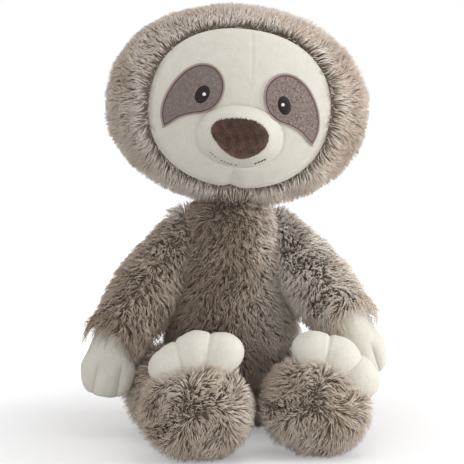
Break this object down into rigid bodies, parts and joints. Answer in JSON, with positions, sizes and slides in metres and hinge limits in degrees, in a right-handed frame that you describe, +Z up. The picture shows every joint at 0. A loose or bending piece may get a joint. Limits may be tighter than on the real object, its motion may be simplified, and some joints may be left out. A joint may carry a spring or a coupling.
{
  "type": "plush sloth",
  "caption": "Seated plush sloth with furry taupe body, limbs and wide head, smooth cream face with dark eye patches and a brown nose, and smooth hands and toes. Head and limbs move.",
  "frame": {"origin": "bottom centre of the bounding box, on the surface the toy sits on", "axes": "+Z up, the face looks towards -Y, and +X is on the right as seen from the front"},
  "size_m": [0.1976, 0.1692, 0.2761],
  "materials": {
    "taupe_pile": "long-pile polyester plush, pale tips over a darker base",
    "cream_plush": "short velour plush",
    "mauve_patch": "brushed knit with an embroidered border",
    "brown_nose": "short-pile plush",
    "dark_thread": "satin embroidery",
    "fibre_fill": "polyester fibre"
  },
  "bodies": {
    "torso": {"torso_cover": "taupe_pile", "torso_stuffing": "fibre_fill"},
    "neck_lower": {"neck_seam_lower": "cream_plush"},
    "neck_upper": {"neck_seam_upper": "cream_plush"},
    "head": {"head_cover": "taupe_pile", "head_stuffing": "fibre_fill", "face_panel_left": "cream_plush", "face_panel_right": "cream_plush", "muzzle": "cream_plush", "nose": "brown_nose", "eye_patch_left": "mauve_patch", "eye_patch_right": "mauve_patch", "eye_left": "dark_thread", "eye_right": "dark_thread"},
    "arm_left": {"arm_left_cover": "taupe_pile", "arm_left_stuffing": "fibre_fill"},
    "hand_left": {"hand_left": "cream_plush"},
    "leg_left": {"leg_left_cover": "taupe_pile", "leg_left_stuffing": "fibre_fill"},
    "foot_left": {"foot_left_cover": "taupe_pile", "foot_left_stuffing": "fibre_fill", "toes_left": "cream_plush"},
    "arm_right": {"arm_right_cover": "taupe_pile", "arm_right_stuffing": "fibre_fill"},
    "hand_right": {"hand_right": "cream_plush"},
    "leg_right": {"leg_right_cover": "taupe_pile", "leg_right_stuffing": "fibre_fill"},
    "foot_right": {"foot_right_cover": "taupe_pile", "foot_right_stuffing": "fibre_fill", "toes_right": "cream_plush"}
  },
  "joints": [
    {"name": "head_turn", "type": "hinge", "parent": "torso", "child": "neck_lower", "pos_m": [-0.00367, 0.02937, 0.128], "axis": [0, 0, 1], "range_deg": [-30, 30]},
    {"name": "head_nod", "type": "hinge", "parent": "neck_lower", "child": "neck_upper", "pos_m": [-0.00367, 0.02937, 0.128], "axis": [0.9848, 0.1736, 0], "range_deg": [-12, 12]},
    {"name": "head_tilt", "type": "hinge", "parent": "neck_upper", "child": "head", "pos_m": [-0.00367, 0.02937, 0.128], "axis": [-0.1736, 0.9848, 0], "range_deg": [-10, 5]},
    {"name": "arm_left_raise", "type": "hinge", "parent": "torso", "child": "arm_left", "pos_m": [-0.03032, 0.03076, 0.125], "axis": [-0.1736, 0.9848, 0], "range_deg": [0, 50]},
    {"name": "hand_left_bend", "type": "hinge", "parent": "arm_left", "child": "hand_left", "pos_m": [-0.07787, -0.00057, 0.06292], "axis": [-0.171, 0.9698, -0.1736], "range_deg": [0, 15]},
    {"name": "leg_left_lift", "type": "hinge", "parent": "torso", "child": "leg_left", "pos_m": [-0.04182, 0.01249, 0.028], "axis": [-0.9848, -0.1736, 0], "range_deg": [0, 22]},
    {"name": "foot_left_twist", "type": "hinge", "parent": "leg_left", "child": "foot_left", "pos_m": [-0.02376, -0.04658, 0.0334], "axis": [0, 1, 0], "range_deg": [-20, 20]},
    {"name": "arm_right_raise", "type": "hinge", "parent": "torso", "child": "arm_right", "pos_m": [0.0271, 0.04089, 0.123], "axis": [0.1736, -0.9848, 0], "range_deg": [0, 50]},
    {"name": "hand_right_bend", "type": "hinge", "parent": "arm_right", "child": "hand_right", "pos_m": [0.07156, -0.01278, 0.07567], "axis": [0.1732, -0.9824, 0.0698], "range_deg": [0, 15]},
    {"name": "leg_right_lift", "type": "hinge", "parent": "torso", "child": "leg_right", "pos_m": [0.04583, 0.02794, 0.028], "axis": [-0.9848, -0.1736, 0], "range_deg": [0, 5]},
    {"name": "foot_right_twist", "type": "hinge", "parent": "leg_right", "child": "foot_right", "pos_m": [0.04906, -0.03374, 0.0334], "axis": [0, 1, 0], "range_deg": [-20, 20]}
  ]
}
